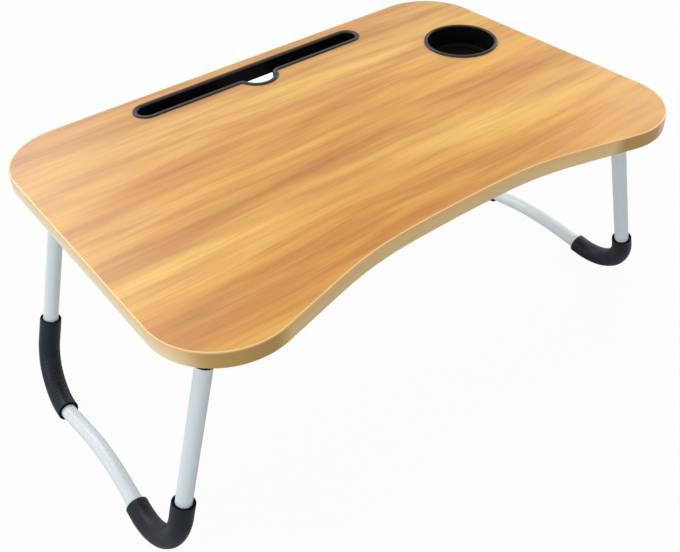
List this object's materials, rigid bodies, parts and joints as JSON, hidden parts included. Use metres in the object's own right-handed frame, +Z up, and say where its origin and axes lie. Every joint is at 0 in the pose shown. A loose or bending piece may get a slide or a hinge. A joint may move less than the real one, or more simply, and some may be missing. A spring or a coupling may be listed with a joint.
{
  "type": "bed tray table",
  "caption": "Low wood-grain bed tray table with an arched front, a tablet slot with cable notch, a cup holder and bent white tube legs that fold flat under the board.",
  "frame": {"origin": "on the floor, below the middle of the board", "axes": "+Z up, +X along the board towards the cup holder's end, +Y away from the user towards the tablet slot"},
  "size_m": [0.666, 0.4, 0.2816],
  "materials": {
    "mdf": "medium density fibreboard, unfinished inside the cut-outs",
    "oak_laminate": "wood-grain melamine sheet, satin",
    "backing_sheet": "plain balancing sheet, matt",
    "edge_band_pvc": "PVC edge band in a wood tone, satin",
    "black_liner": "moulded black ABS, fine satin",
    "black_nylon": "moulded black nylon",
    "zinc_steel": "zinc plated",
    "white_tube": "white powder coat on steel tube, smooth satin",
    "foam_rubber": "dense foam rubber, matt"
  },
  "bodies": {
    "table_top": {"board_core": "mdf", "top_laminate": "oak_laminate", "underside_backing": "backing_sheet", "edge_band": "edge_band_pvc", "slot_liner": "black_liner", "cup_holder": "black_liner", "left_front_hinge_bracket": "black_nylon", "left_front_pivot_pin": "zinc_steel", "left_front_bracket_screws": "zinc_steel", "left_rear_hinge_bracket": "black_nylon", "left_rear_pivot_pin": "zinc_steel", "left_rear_bracket_screws": "zinc_steel", "right_front_hinge_bracket": "black_nylon", "right_front_pivot_pin": "zinc_steel", "right_front_bracket_screws": "zinc_steel", "right_rear_hinge_bracket": "black_nylon", "right_rear_pivot_pin": "zinc_steel", "right_rear_bracket_screws": "zinc_steel"},
    "left_leg": {"left_front_hinge_knuckle": "black_nylon", "left_front_foot_sleeve": "foam_rubber", "left_rear_hinge_knuckle": "black_nylon", "left_rear_foot_sleeve": "foam_rubber", "left_leg_tube": "white_tube"},
    "right_leg": {"right_front_hinge_knuckle": "black_nylon", "right_front_foot_sleeve": "foam_rubber", "right_rear_hinge_knuckle": "black_nylon", "right_rear_foot_sleeve": "foam_rubber", "right_leg_tube": "white_tube"}
  },
  "joints": [
    {"name": "left_leg_fold", "type": "hinge", "parent": "table_top", "child": "left_leg", "pos_m": [-0.256, 0, 0.24603], "axis": [0, -1, 0], "range_deg": [0, 106.8]},
    {"name": "right_leg_fold", "type": "hinge", "parent": "table_top", "child": "right_leg", "pos_m": [0.256, 0, 0.24603], "axis": [0, 1, 0], "range_deg": [0, 106.8]}
  ]
}
